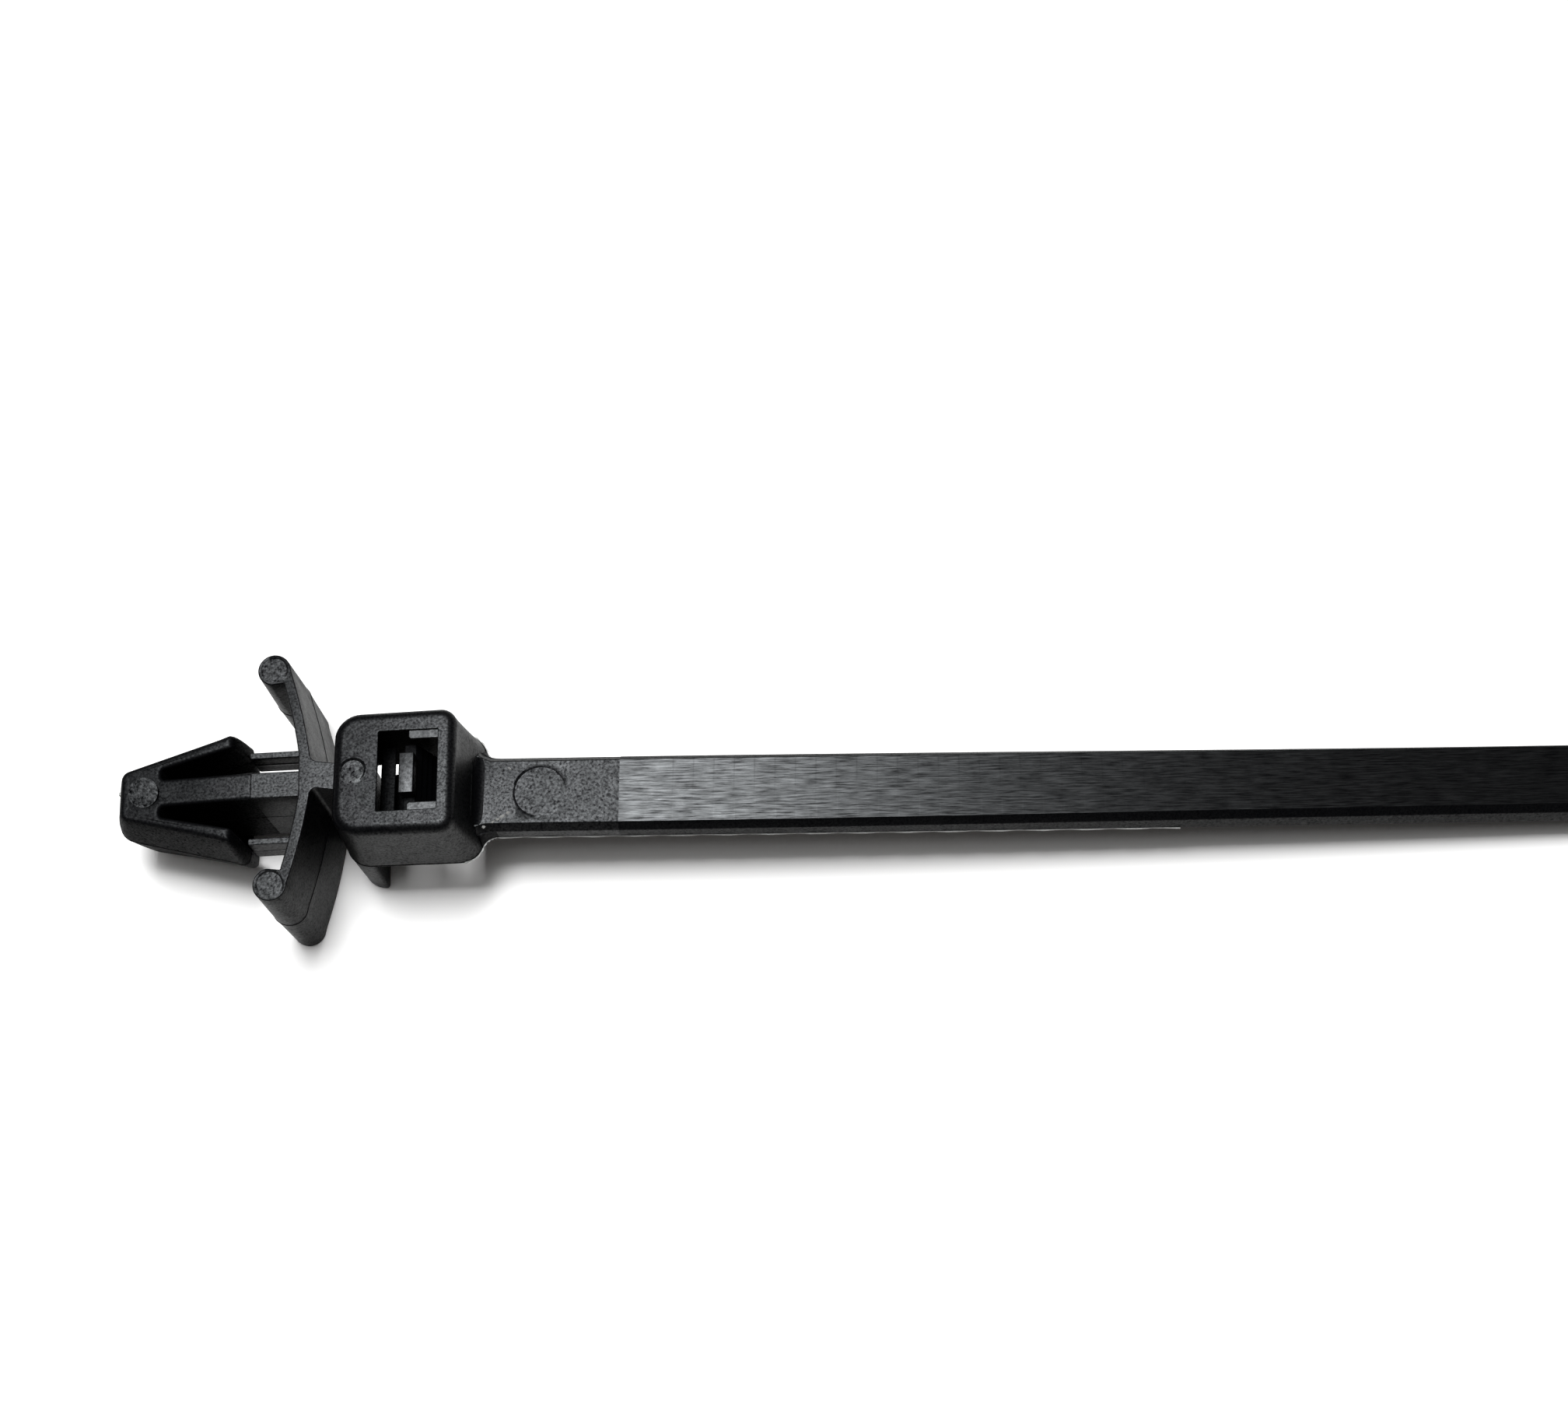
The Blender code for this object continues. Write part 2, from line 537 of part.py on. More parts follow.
tie.data.materials.append(nylon())
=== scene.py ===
"""Looks of the push mount cable tie: black nylon, moulded in one piece, lying on a pale table."""

import bmesh
import bpy
import numpy as np
from mathutils import Matrix, Vector


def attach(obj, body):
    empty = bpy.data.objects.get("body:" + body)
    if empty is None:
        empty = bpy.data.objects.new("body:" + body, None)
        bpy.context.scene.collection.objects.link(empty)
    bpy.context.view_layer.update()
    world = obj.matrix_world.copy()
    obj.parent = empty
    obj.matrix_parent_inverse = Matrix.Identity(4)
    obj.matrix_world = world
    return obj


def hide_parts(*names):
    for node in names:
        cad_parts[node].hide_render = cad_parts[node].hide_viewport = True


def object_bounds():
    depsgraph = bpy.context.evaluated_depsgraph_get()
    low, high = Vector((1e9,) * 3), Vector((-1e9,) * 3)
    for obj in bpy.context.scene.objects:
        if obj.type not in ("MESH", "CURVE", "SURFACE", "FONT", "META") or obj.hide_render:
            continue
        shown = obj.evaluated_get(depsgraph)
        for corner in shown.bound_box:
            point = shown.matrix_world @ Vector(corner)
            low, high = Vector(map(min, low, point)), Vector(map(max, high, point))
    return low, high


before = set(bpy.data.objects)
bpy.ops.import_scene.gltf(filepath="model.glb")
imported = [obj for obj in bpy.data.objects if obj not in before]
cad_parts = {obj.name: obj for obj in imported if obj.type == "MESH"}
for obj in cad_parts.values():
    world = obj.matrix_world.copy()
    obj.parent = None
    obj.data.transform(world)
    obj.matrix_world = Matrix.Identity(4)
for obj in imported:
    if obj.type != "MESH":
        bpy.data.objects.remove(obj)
cad_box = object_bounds()

# Arrowhead: the pointed end that is pushed through a panel hole, of black nylon, with a barb on
# each side of its middle rib. It is moulded with the whole tie, in two halves that part at mid
# depth, where its sides bulge. Sizes are millimetres along the straight tie from its nose edge.
MM = 0.001
NODE = "cable_tie"
NOSE_BULGE = 1.1
ARROW_DEPTH = 3.25
NOSE_EDGE_Y = 1.42
NOSE_CORNER = 0.5
BARB_END_X = 6.33
BARB_TIP_Y = 3.16
BARB_BULGE = 0.63
BARB_TIP_REACH = 0.42
BARB_INNER_REACH = 0.58
BARB_INNER_Y = 2.50
BARB_LIP_LENGTH = 0.75
BARB_LIP_HEIGHT = 0.13
LOWER_TUCK = 0.50
SLOT_X = 2.28
SLOT_Y = 1.47
SLOT_CORNER = 0.26
RIB_Y = 0.83
RIB_STEP_X = 7.75
ARROW_EDGE = 0.21

# How the tie lies: its turns are in radians, and everything else is in millimetres.
STEM_SHIFT, STEM_SHIFT_X, STEM_SHIFT_LENGTH = -0.19, 8.5, 4.0
NECK_TURN, NECK_SHIFT, NECK_TURN_X, NECK_TURN_END = -0.033, -0.231, 11.61, 13.0
STRAP_TURN, ROOT_SHIFT, STRAP_TURN_X, STRAP_TURN_LENGTH = -0.035, -0.222, 19.57, 2.0
STRAIGHTENS, STRAIGHTENED_X = 0.040, 137.0
ROLL, ROLL_START, ROLL_FULL = -0.19, 29.0, 84.0
STRAP_ROOT_X, TOUCHDOWN_X, TAIL_END_X = 20.9, 134.0, 199.0
REST_HEIGHT = 4.65
WING_TIP_Y = 7.674


def soft_step(part):
    """0 below 0, 1 above 1, and a smooth rise 3p^2 - 2p^3 between."""
    part = np.clip(part, 0, 1)
    return part * part * (3 - 2 * part)


def centre_line(x):
    """Place and heading of the lying tie's centre line at straight distance x.

    The heading turns at the neck and at the strap's root and then eases back; the line is the
    running sum of its cosine and sine, and the stem adds a small sideways shift."""
    line = np.linspace(-2 * NOSE_BULGE, TAIL_END_X + 1, 6001)
    neck = soft_step((line - NECK_TURN_X) / (NECK_TURN_END - NECK_TURN_X))
    root = soft_step((line - STRAP_TURN_X) / STRAP_TURN_LENGTH)
    heading = (NECK_TURN * neck + STRAP_TURN * root
               + STRAIGHTENS * np.clip((line - STRAP_ROOT_X) / (STRAIGHTENED_X - STRAP_ROOT_X), 0, 1))
    along = np.cumsum(np.cos(heading)) * (line[1] - line[0])
    aside = np.cumsum(np.sin(heading)) * (line[1] - line[0])
    aside += STEM_SHIFT * soft_step((line - STEM_SHIFT_X) / STEM_SHIFT_LENGTH)
    aside += NECK_SHIFT * neck + ROOT_SHIFT * root
    along -= np.interp(0, line, along)
    aside -= np.interp(0, line, aside)
    return np.interp(x, line, along), np.interp(x, line, aside), np.interp(x, line, heading)


def laid(points):
    """Straight points in millimetres, carried onto the lying tie in metres.

    Each point keeps its offset from the centre line, turned by the heading and by the strap's
    roll; the strap's sag lowers it smoothly to the table."""
    x, y, z = np.moveaxis(np.asarray(points, float), -1, 0)
    along, aside, turn = centre_line(x)
    fade = 1 - soft_step((x - ROLL_FULL) / (TOUCHDOWN_X - ROLL_FULL))
    roll = ROLL * soft_step((x - ROLL_START) / (ROLL_FULL - ROLL_START)) * fade
    side = y * np.cos(roll) - z * np.sin(roll)
    rise = y * np.sin(roll) + z * np.cos(roll)
    sag = REST_HEIGHT * soft_step((x - STRAP_ROOT_X) / (TOUCHDOWN_X - STRAP_ROOT_X))
    flat = np.stack([along - side * np.sin(turn), aside + side * np.cos(turn), rise - sag], axis=-1)
    low, high = cad_box
    origin = np.array([low.x + NOSE_BULGE * MM, high.y - WING_TIP_Y * MM, low.z + REST_HEIGHT * MM])
    return flat * MM + origin


def filleted(corners, inset=0.0, steps=7):
    """A closed clockwise outline of corners (x, y, radius), moved inwards by inset and rounded.

    Each corner moves along the sum of its sides' inward normals over 1 + their dot product. An
    outward corner's radius shrinks by the inset and an inward one's grows. The arc starts
    radius / tan(half the corner's angle) from the corner and turns evenly between its two ends."""
    corners = np.array(corners, float)
    point, radius = corners[:, :2], corners[:, 2:]
    after = np.roll(point, -1, axis=0) - point
    before = point - np.roll(point, 1, axis=0)
    after /= np.linalg.norm(after, axis=1, keepdims=True)
    before /= np.linalg.norm(before, axis=1, keepdims=True)
    inward_before = before[:, ::-1] * [1, -1]
    inward_after = after[:, ::-1] * [1, -1]
    cosine = (inward_before * inward_after).sum(1, keepdims=True)
    outward_corner = (before * inward_after).sum(1, keepdims=True) < 0
    point = point + inset * (inward_before + inward_after) / (1 + cosine)
    radius = np.maximum(radius - np.where(outward_corner, inset, -inset), 0.012)
    half = np.arccos(np.clip((-before * after).sum(1, keepdims=True), -1, 1)) / 2
    middle = (after - before) / np.linalg.norm(after - before, axis=1, keepdims=True)
    centre = point + middle * radius / np.sin(half)
    first = (point - before * radius / np.tan(half) - centre)[:, None]
    last = (point + after * radius / np.tan(half) - centre)[:, None]
    angle = (np.pi - 2 * half)[:, None]
    share = np.linspace(0, 1, steps)[None, :, None]
    arc = (np.sin((1 - share) * angle) * first + np.sin(share * angle) * last) / np.sin(angle)
    return (centre[:, None] + arc).reshape(-1, 2)


def grown(outline, distance):
    """The closed clockwise outline moved outwards by distance, along the mean normal of its sides."""
    after = np.roll(outline, -1, axis=0) - outline
    before = outline - np.roll(outline, 1, axis=0)
    after = after / np.linalg.norm(after, axis=1, keepdims=True)
    before = before / np.linalg.norm(before, axis=1, keepdims=True)
    normal = np.stack([-(after + before)[:, 1], (after + before)[:, 0]], axis=1)
    normal /= np.linalg.norm(normal, axis=1, keepdims=True)
    spread = np.maximum((normal * np.stack([-after[:, 1], after[:, 0]], axis=1)).sum(1, keepdims=True), 0.6)
    return outline + normal * distance / spread


def mirrored(half):
    """The whole outline of corners (x, y, radius) from its half at y > 0, listed from nose to tail."""
    half = np.array(half, float)
    return np.concatenate([half, (half * [1, -1, 1])[::-1]])


def at_level(outline, height):
    """The outline's points at one height."""
    return np.column_stack([outline, np.full(len(outline), height)])


def moulded(plan, low, high, edge, flash=0.03, heights=9):
    """Rings from bottom to top of a drafted form: plan(z, inset) is its outline at height z.

    Both faces end in a quarter-round edge, and where flash isn't 0 a thin flash line stands out at
    height 0, where the mould parts."""
    turns = np.linspace(0, np.pi / 2, 5)
    levels = [(low, edge * 1.4)] + [(low + edge * (1 - np.cos(t)), edge * (1 - np.sin(t))) for t in turns]
    sides = np.linspace(low + edge, high - edge, heights)[1:-1]
    levels += [(z, 0.0) for z in sides if flash == 0 or abs(z) > 0.06]
    if flash:
        levels += [(-0.03, 0.0), (0.0, -flash), (0.03, 0.0)]
    levels += [(high - edge * (1 - np.cos(t)), edge * (1 - np.sin(t))) for t in turns] + [(high, edge * 1.4)]
    levels.sort(key=lambda level: (level[0], -level[1] if level[0] < (low + high) / 2 else level[1]))
    return np.array([at_level(plan(z, inset), z) for z, inset in levels])


def skin(name, rings, closed=False):
    """A mesh object over a grid of rings, in straight millimetres, then laid down.

    Each ring is joined to the next; the last joins the first if closed, or else flat ends close it.
    Its UV map holds the straight x and y, in centimetres."""
    rings = np.asarray(rings, float)
    count, size = rings.shape[:2]
    index = np.arange(count * size).reshape(count, size)
    lower = index if closed else index[:-1]
    upper = np.roll(index, -1, axis=0) if closed else index[1:]
    quads = np.stack([lower, np.roll(lower, -1, axis=1), np.roll(upper, -1, axis=1), upper], axis=-1)
    faces = quads.reshape(-1, 4).tolist()
    if not closed:
        faces += [index[0].tolist(), index[-1].tolist()]
    mesh = bpy.data.meshes.new(name)
    mesh.from_pydata(laid(rings.reshape(-1, 3)).tolist(), [], faces)
    uv = mesh.uv_layers.new(name="straight")
    corner = np.zeros(len(mesh.loops), np.int32)
    mesh.loops.foreach_get("vertex_index", corner)
    uv.data.foreach_set("uv", (rings.reshape(-1, 3)[corner][:, :2] / 10).ravel())
    shell = bmesh.new()
    shell.from_mesh(mesh)
    bmesh.ops.recalc_face_normals(shell, faces=shell.faces)
    shell.to_mesh(mesh)
    shell.free()
    piece = bpy.data.objects.new(name, mesh)
    bpy.context.scene.collection.objects.link(piece)
    return piece


def finished(piece, material=None, sharp=32):
    """Shades a piece smooth up to a sharp angle, gives it its material and ties it to the frame.

    A piece that already has several materials keeps them, and its large faces are kept flat."""
    piece.data.shade_smooth()
    piece.data.set_sharp_from_angle(angle=np.radians(sharp))
    if material:
        piece.data.materials.append(material)
    else:
        piece.modifiers.new("flat_faces", "WEIGHTED_NORMAL").keep_sharp = True
    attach(piece, "root")
    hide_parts(NODE)


def node(tree, kind, **values):
    """A shader node with its settings, and its sockets by name."""
    made = tree.nodes.new(kind)
    for key, value in values.items():
        if key in made.inputs:
            made.inputs[key].default_value = value
        else:
            setattr(made, key, value)
    return made


def ranged(tree, value, given, wanted):
    """A value carried from one range to another, held at both ends."""
    made = node(tree, "ShaderNodeMapRange")
    for name, number in zip(("From Min", "From Max", "To Min", "To Max"), (*given, *wanted)):
        made.inputs[name].default_value = number
    tree.links.new(value, made.inputs["Value"])
    return made.outputs["Result"]


def black_nylon(name, gloss, reach=(0.0, 1.0), colour=(0.0016, 0.0016, 0.00192), roughness=0.38,
                grain=7000.0, relief=0.010, contrast=0.8, stretch=None):
    """Black nylon as it leaves a spark-eroded mould: fine pits in its surface and an uneven gloss.

    Fine noise gives the bump, and with the given contrast the pale grains; broad noise gives the
    roughness. The gloss goes from its first to its second value between the two places in reach,
    in millimetres along the straight tie. Where stretch is given, the fine noise lies along the
    straight tie instead, scaled so by x, y and z."""
    material = bpy.data.materials.new(name)
    material.use_nodes = True
    tree = material.node_tree
    shader = tree.nodes["Principled BSDF"]
    shader.inputs["Base Color"].default_value = (*colour, 1)
    place = node(tree, "ShaderNodeTexCoord")
    fine = node(tree, "ShaderNodeTexNoise", Scale=grain, Detail=3.0, Roughness=0.65)
    broad = node(tree, "ShaderNodeTexNoise", Scale=900.0, Detail=4.0, Roughness=0.55)
    straight = node(tree, "ShaderNodeUVMap", uv_map="straight")
    if stretch:
        drawn = node(tree, "ShaderNodeMapping")
        drawn.inputs["Scale"].default_value = stretch
        tree.links.new(straight.outputs["UV"], drawn.inputs["Vector"])
        tree.links.new(drawn.outputs["Vector"], fine.inputs["Vector"])
    else:
        tree.links.new(place.outputs["Object"], fine.inputs["Vector"])
    tree.links.new(place.outputs["Object"], broad.inputs["Vector"])
    uneven = ranged(tree, broad.outputs["Fac"], (0.3, 0.7), (roughness - 0.04, roughness + 0.05))
    tree.links.new(uneven, shader.inputs["Roughness"])
    bump = node(tree, "ShaderNodeBump", Strength=0.6, Distance=relief * MM)
    tree.links.new(fine.outputs["Fac"], bump.inputs["Height"])
    tree.links.new(bump.outputs["Normal"], shader.inputs["Normal"])
    split = node(tree, "ShaderNodeSeparateXYZ")
    tree.links.new(straight.outputs["UV"], split.inputs["Vector"])
    level = ranged(tree, split.outputs["X"], (reach[0] / 10, reach[1] / 10), gloss)
    grains = ranged(tree, fine.outputs["Fac"], (0.33, 0.67), (1 - contrast, 1 + contrast))
    shine = node(tree, "ShaderNodeMath", operation="MULTIPLY")
    tree.links.new(level, shine.inputs[0])
    tree.links.new(grains, shine.inputs[1])
    tree.links.new(shine.outputs["Value"], shader.inputs["Specular IOR Level"])
    return material


arrow_nylon = black_nylon("arrow_black_nylon", gloss=(0.085, 0.19), reach=(4.5, 7.6), roughness=0.46)
pin_face = black_nylon("ejector_pin_face", gloss=(0.2, 0.3), reach=(0, 14), roughness=0.45, grain=4200.0,
                       relief=0.04, contrast=1.0)
PIN_PROFILE = ((0.25, -1.0), (0.17, -1.0), (0.13, -2.6), (0.0, 0.2), (-0.01, 8.0))


def ejector_mark(piece, material, centre, top, radius, depth=0.05, face=pin_face, lean=(0.0, 1.0)):
    """Sinks the round print of an ejector pin into a face of a piece, by a Boolean.

    The cutter is a disc with a deeper rim, of the pin's own face: each ring of its profile lies
    inside the radius, at a level of its share times the depth. The level is scaled by
    0.55 + 0.45 cos(angle from lean), so that it goes deepest there. The piece keeps its material."""
    angle = np.linspace(0, 2 * np.pi, 72, endpoint=False)[::-1]
    circle = np.column_stack([np.cos(angle), np.sin(angle)])
    level = depth * (0.55 + 0.45 * circle @ lean)
    cutter = skin("pin", [np.column_stack([centre + circle * (radius - inset), top + share * level])
                          for inset, share in PIN_PROFILE])
    cutter.data.materials.append(face)
    piece.data.materials.append(material)
    cut = piece.modifiers.new("mark", "BOOLEAN")
    cut.operation = "DIFFERENCE"
    cut.solver = "EXACT"
    cut.material_mode = "TRANSFER"
    cut.object = cutter
    result = bpy.data.meshes.new_from_object(piece.evaluated_get(bpy.context.evaluated_depsgraph_get()))
    piece.modifiers.clear()
    piece.data = result
    bpy.data.objects.remove(cutter)


def steep_faces(piece, material, limit):
    """Gives a material to the piece's faces whose normals rise or fall by less than the limit."""
    faces = piece.data.polygons
    piece.data.materials.append(material)
    normal = np.zeros(3 * len(faces))
    faces.foreach_get("normal", normal)
    slot = np.zeros(len(faces), np.int32)
    faces.foreach_get("material_index", slot)
    slot[np.abs(normal[2::3]) < limit] = len(piece.data.materials) - 1
    faces.foreach_set("material_index", slot)


def arrow_plan(height, inset):
    """The arrowhead's outline at a height: each corner moves by its bulge times 1 - |z / depth|^1.25.

    The barbs' tips move by the root of that, which rounds them, and end in a low lip. Below the
    parting level the sides also draw in, in proportion to the depth."""
    share = height / ARROW_DEPTH
    bulge = 1 - abs(share) ** 1.25
    full = bulge ** 0.5
    tuck = LOWER_TUCK * min(share, 0)
    nose_x = 0.04 * bulge - NOSE_BULGE * bulge
    nose_y = NOSE_EDGE_Y + 0.06 * bulge + 0.3 * tuck
    tip_x = BARB_END_X + BARB_TIP_REACH * full
    tip_y = BARB_TIP_Y + BARB_BULGE * full + tuck
    lip_x = tip_x - BARB_LIP_LENGTH
    lip_y = nose_y + (tip_y - nose_y) * (lip_x - nose_x) / (tip_x - nose_x)
    return filleted(mirrored([
        (nose_x, nose_y, NOSE_CORNER * (1 + 1.5 * bulge)),
        (lip_x, lip_y, 0.3),
        (tip_x, tip_y + BARB_LIP_HEIGHT * (0.05 + full), 0.13 + 0.26 * full),
        (BARB_END_X + BARB_INNER_REACH * full, BARB_INNER_Y + 0.5 * BARB_BULGE * bulge + 0.85 * tuck,
         0.12 + 0.2 * full),
        (SLOT_X, SLOT_Y, SLOT_CORNER),
        (SLOT_X, RIB_Y, SLOT_CORNER),
        (RIB_STEP_X, RIB_Y, 0.06),
    ]), inset)


arrowhead = skin("arrowhead", moulded(arrow_plan, -ARROW_DEPTH, ARROW_DEPTH, ARROW_EDGE, heights=17))
ejector_mark(arrowhead, arrow_nylon, (1.37, 0.0), ARROW_DEPTH, 0.86)
# Painted shade: the arrowhead's steep walls take a copy of its nylon with far less gloss, so that they read
# dark.
arrow_wall_shade_nylon = black_nylon("arrow_wall_painted_shade_nylon", gloss=(0.025, 0.06), reach=(2, 7), roughness=0.5,
                               relief=0.03, contrast=1.0)
steep_faces(arrowhead, arrow_wall_shade_nylon, 0.5)
finished(arrowhead)

# Gate nub: the short torn stub on the nose where the nylon ran into the mould. It is black nylon,
# gone pale where it was torn off.
NUB_CORNERS = [(-0.90, 1.06, 0.05), (-0.5, 1.12, 0.05), (-0.5, 0.78, 0.05), (-0.90, 0.84, 0.08)]
NUB_LEVELS = ((0.05, 0.88), (0.0, 0.94), (0.0, 1.12), (0.05, 1.18))

pale_nylon = black_nylon("pale_torn_nylon", gloss=(0.8, 0.8), colour=(0.34, 0.33, 0.31), roughness=0.5,
                         relief=0.02)
nub = [at_level(filleted(NUB_CORNERS, inset), z) for inset, z in NUB_LEVELS]
finished(skin("gate_nub", nub), pale_nylon)

# Stem: a deep middle rib with a thin rail on each side of it, behind the barbs' ends. Light comes
# through between rib and rail. Black nylon, moulded with the arrowhead.
RIB_DEPTH = 3.20
RAIL_OUTER = 2.90
RAIL_THICK = 0.38
RAIL_DEPTH = 1.10
RAIL_FRONT_X = 6.93
WING_ROOT_X = 11.61


def rib_plan(height, inset):
    """The rib's rectangle, a little wider at its mid depth, by 0.02 (1 - (z / depth)^2)."""
    side = RIB_Y - 0.03 + 0.02 * (1 - (height / RIB_DEPTH) ** 2)
    return filleted(mirrored([(RIB_STEP_X - 0.3, side, 0.05), (WING_ROOT_X - 0.3, side, 0.05)]), inset)


def rail_plan(height, inset):
    """The upper rail's long rectangle, its rear end sunk in the wing."""
    outer = RAIL_OUTER + 0.03 * (1 - abs(height) / RAIL_DEPTH)
    inner = RAIL_OUTER - RAIL_THICK
    end = WING_ROOT_X - 0.85
    return filleted([(RAIL_FRONT_X, outer, 0.10), (end, outer, 0.03), (end, inner, 0.03),
                     (RAIL_FRONT_X, inner, 0.10)], inset)


stem_nylon = black_nylon("stem_black_nylon", gloss=(0.24, 0.24))
finished(skin("rib", moulded(rib_plan, -RIB_DEPTH, RIB_DEPTH, edge=0.08, flash=0.02)), stem_nylon)
rail_rings = moulded(rail_plan, -RAIL_DEPTH, RAIL_DEPTH, edge=0.05, flash=0.015)
finished(skin("rail_upper", rail_rings), stem_nylon)
finished(skin("rail_lower", rail_rings * [1, -1, 1]), stem_nylon)

# Wings and neck: two curved springs that press on the panel's outer side, each with a round bead
# at its end, and the deep wall that carries them to the head. Black nylon, drafted both ways from
# the parting line, where a thin flash line runs along them.
WING_LEAN = 0.1035
WING_BOW = 0.0158
WING_THICK = 0.65
WING_DEPTH = 4.65
WING_DRAFT = 0.07
BEAD_RADIUS = 0.97
BEAD_Y = 6.62
FILLET = 0.45
HEAD_FRONT_X = 12.88


def wing_front(y):
    """The wing's front edge: a straight lean and a parabola."""
    return WING_ROOT_X - WING_LEAN * y - WING_BOW * y ** 2


def arc_points(x, y, radius, start, stop, count):
    """Points on an arc, in degrees."""
    angle = np.radians(np.linspace(start, stop, count))
    return np.column_stack([x + radius * np.cos(angle), y + radius * np.sin(angle)])


def wing_plan(height, inset):
    """Both wings, their beads and the neck; the draft widens the whole outline towards mid depth."""
    start = RIB_Y + FILLET
    back_x = wing_front(start) - WING_THICK
    bead_x = wing_front(BEAD_Y) - BEAD_RADIUS
    back_y = np.linspace(start, BEAD_Y - 1.05 * BEAD_RADIUS, 20)
    front_y = np.linspace(BEAD_Y - 0.2 * BEAD_RADIUS, start, 26)
    inner = arc_points(wing_front(back_y[-1]) - WING_THICK - 0.25, back_y[-1], 0.25, 0, 40, 4)[1:]
    half = np.concatenate([
        [[back_x, RIB_Y]],
        np.column_stack([wing_front(back_y) - WING_THICK, back_y]),
        inner,
        arc_points(bead_x, BEAD_Y, BEAD_RADIUS, -100, -355, 40),
        np.column_stack([wing_front(front_y), front_y]),
        arc_points(wing_front(start) + FILLET, start, FILLET, 180, 270, 8)[1:],
        [[HEAD_FRONT_X + 0.3, RIB_Y]],
    ])
    whole = np.concatenate([half, (half * [1, -1])[::-1]])
    return grown(whole, WING_DRAFT * (1 - abs(height) / WING_DEPTH) - inset)


wings = skin("wings_and_neck", moulded(wing_plan, -WING_DEPTH, WING_DEPTH, edge=0.07, flash=0.03))
wing_nylon = black_nylon("wing_black_nylon", gloss=(0.13, 0.26), reach=(10.3, 11.8))
for side in (1, -1):
    bead_centre = (wing_front(BEAD_Y) - BEAD_RADIUS, side * BEAD_Y)
    ejector_mark(wings, wing_nylon, bead_centre, WING_DEPTH, 0.90, depth=0.03)
finished(wings)

# Head: the box that holds the ratchet. Black nylon, with drafted walls, a rounded top edge, a
# window that runs down through it, and a groove round its base. It is moulded with neck and strap.
HEAD_BASE = -0.15
HEAD_HEIGHT = 5.40
HEAD_LENGTH = 7.12
HEAD_Y = 3.76
HEAD_TAPER = 0.04
HEAD_DRAFT = 0.24
HEAD_HEEL = 0.90
HEAD_EDGE = 0.60
FRONT_CORNER = 1.52
REAR_CORNER = 0.95
BASE_CORNER = 1.45
BASE_Y = HEAD_Y + HEAD_TAPER + HEAD_DRAFT
GROOVE_DEPTH = 0.12
STRAP_WIDTH = 4.60
STRAP_THICK = 1.50
HEAD_TOP = HEAD_BASE + HEAD_HEIGHT
HEAD_REAR_X = HEAD_FRONT_X + HEAD_LENGTH
WINDOW_REAR_X = HEAD_REAR_X - 1.03
WINDOW_Y = STRAP_WIDTH / 2 + 0.14
PAWL_FRONT_X = WINDOW_REAR_X - STRAP_THICK - 0.12
PAWL_BACK_X = PAWL_FRONT_X - 0.78
WINDOW_FRONT_X = PAWL_BACK_X - 1.05
RELIEF_SLANT = 1.25


def box_plan(front, rear, front_y, rear_y, front_corner, rear_corner, inset=0.0):
    """A rounded rectangle, clockwise, each end with its own half width and corner radius."""
    return filleted([(front, front_y, front_corner), (rear, rear_y, rear_corner),
                     (rear, -rear_y, rear_corner), (front, -front_y, front_corner)], inset, 12)


def head_wall(height, inset=0.0):
    """The head's outer outline: it widens downwards by the draft, and its rear leans out."""
    shoulder = HEAD_TOP - HEAD_EDGE
    low = np.clip((shoulder - height) / (shoulder - HEAD_BASE), 0, 1)
    spread = HEAD_DRAFT * low
    return box_plan(HEAD_FRONT_X - spread, HEAD_REAR_X + HEAD_HEEL * low ** 1.3,
                    HEAD_Y - HEAD_TAPER + spread, HEAD_Y + HEAD_TAPER + spread,
                    FRONT_CORNER, REAR_CORNER + (BASE_CORNER - REAR_CORNER) * low, inset)


def window_ring(front, grow, height):
    """The window's rounded outline, widened by grow all round, at a height."""
    return at_level(box_plan(front - grow, WINDOW_REAR_X + grow, WINDOW_Y + grow, WINDOW_Y + grow,
                             0.10 + grow, 0.10 + grow), height)


head_rings = [at_level(head_wall(z), z) for z in np.linspace(HEAD_BASE + 0.24, HEAD_TOP - HEAD_EDGE, 14)]
for turn in np.linspace(0, np.pi / 2, 11)[1:]:
    head_rings.append(at_level(head_wall(HEAD_TOP, HEAD_EDGE * (1 - np.cos(turn))),
                               HEAD_TOP - HEAD_EDGE * (1 - np.sin(turn))))
head_rings.append(at_level(head_wall(HEAD_TOP, HEAD_EDGE * 1.06), HEAD_TOP))
for grow, drop in ((0.07, 0.0), (0.05, 0.0), (0.015, 0.015), (0.0, 0.05)):
    head_rings.append(window_ring(WINDOW_FRONT_X, grow, HEAD_TOP - drop))
head_rings.append(window_ring(WINDOW_FRONT_X - RELIEF_SLANT, 0.0, HEAD_BASE))
for inset, rise in ((0.30, 0.0), (0.06, 0.0), (0.0, 0.05), (0.0, 0.08), (GROOVE_DEPTH, 0.09),
                    (GROOVE_DEPTH, 0.21), (0.0, 0.22)):
    head_rings.append(at_level(head_wall(HEAD_BASE, inset), HEAD_BASE + rise))
head = skin("head", head_rings, closed=True)
head_nylon = black_nylon("head_black_nylon", gloss=(0.10, 0.21), reach=(13, 20))
ejector_mark(head, head_nylon, (HEAD_FRONT_X + 1.22, 0.08), HEAD_TOP, 0.82)
finished(head)

# Wall under the head: it stands on the table under the head's front and turns back along the lower
# side. Black nylon, moulded with the head.
SKIRT_DEPTH = 4.45
SKIRT_LENGTH = 1.68
SKIRT_WALL = 0.95
SKIRT_END_Y = 3.20


